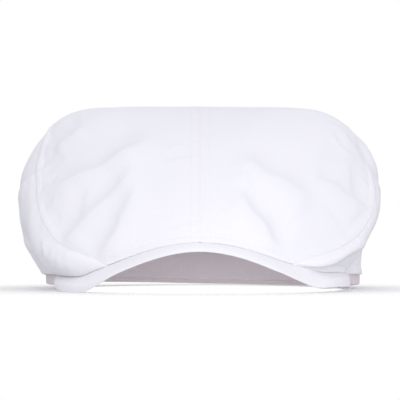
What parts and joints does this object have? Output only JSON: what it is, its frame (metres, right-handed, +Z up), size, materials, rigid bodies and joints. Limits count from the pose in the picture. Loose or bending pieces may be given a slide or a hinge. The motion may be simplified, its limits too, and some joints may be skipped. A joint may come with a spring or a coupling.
{
  "type": "chef cap",
  "caption": "Soft white cotton flat cap worn in kitchens: two top panels with a centre seam, side panels round the back, a short curved peak and an inner sweatband.",
  "frame": {"origin": "middle of the cap's footprint, on the surface it rests on", "axes": "+Y from the peak to the back of the cap, +Z up, +X to the right as seen from in front"},
  "size_m": [0.2219, 0.2696, 0.1114],
  "materials": {
    "white_twill": "matt white cotton twill with a fine diagonal weave, soft folds and white topstitching",
    "peak_twill": "the same white twill drawn smooth over a stiff peak",
    "taupe_cotton": "grey-taupe cotton band, matt, with one stitched row near its lower edge"
  },
  "bodies": {
    "root": {"top_panel_left": "white_twill", "top_panel_right": "white_twill", "side_panel_left": "white_twill", "side_panel_right": "white_twill", "peak": "peak_twill", "sweatband": "taupe_cotton"}
  },
  "joints": []
}
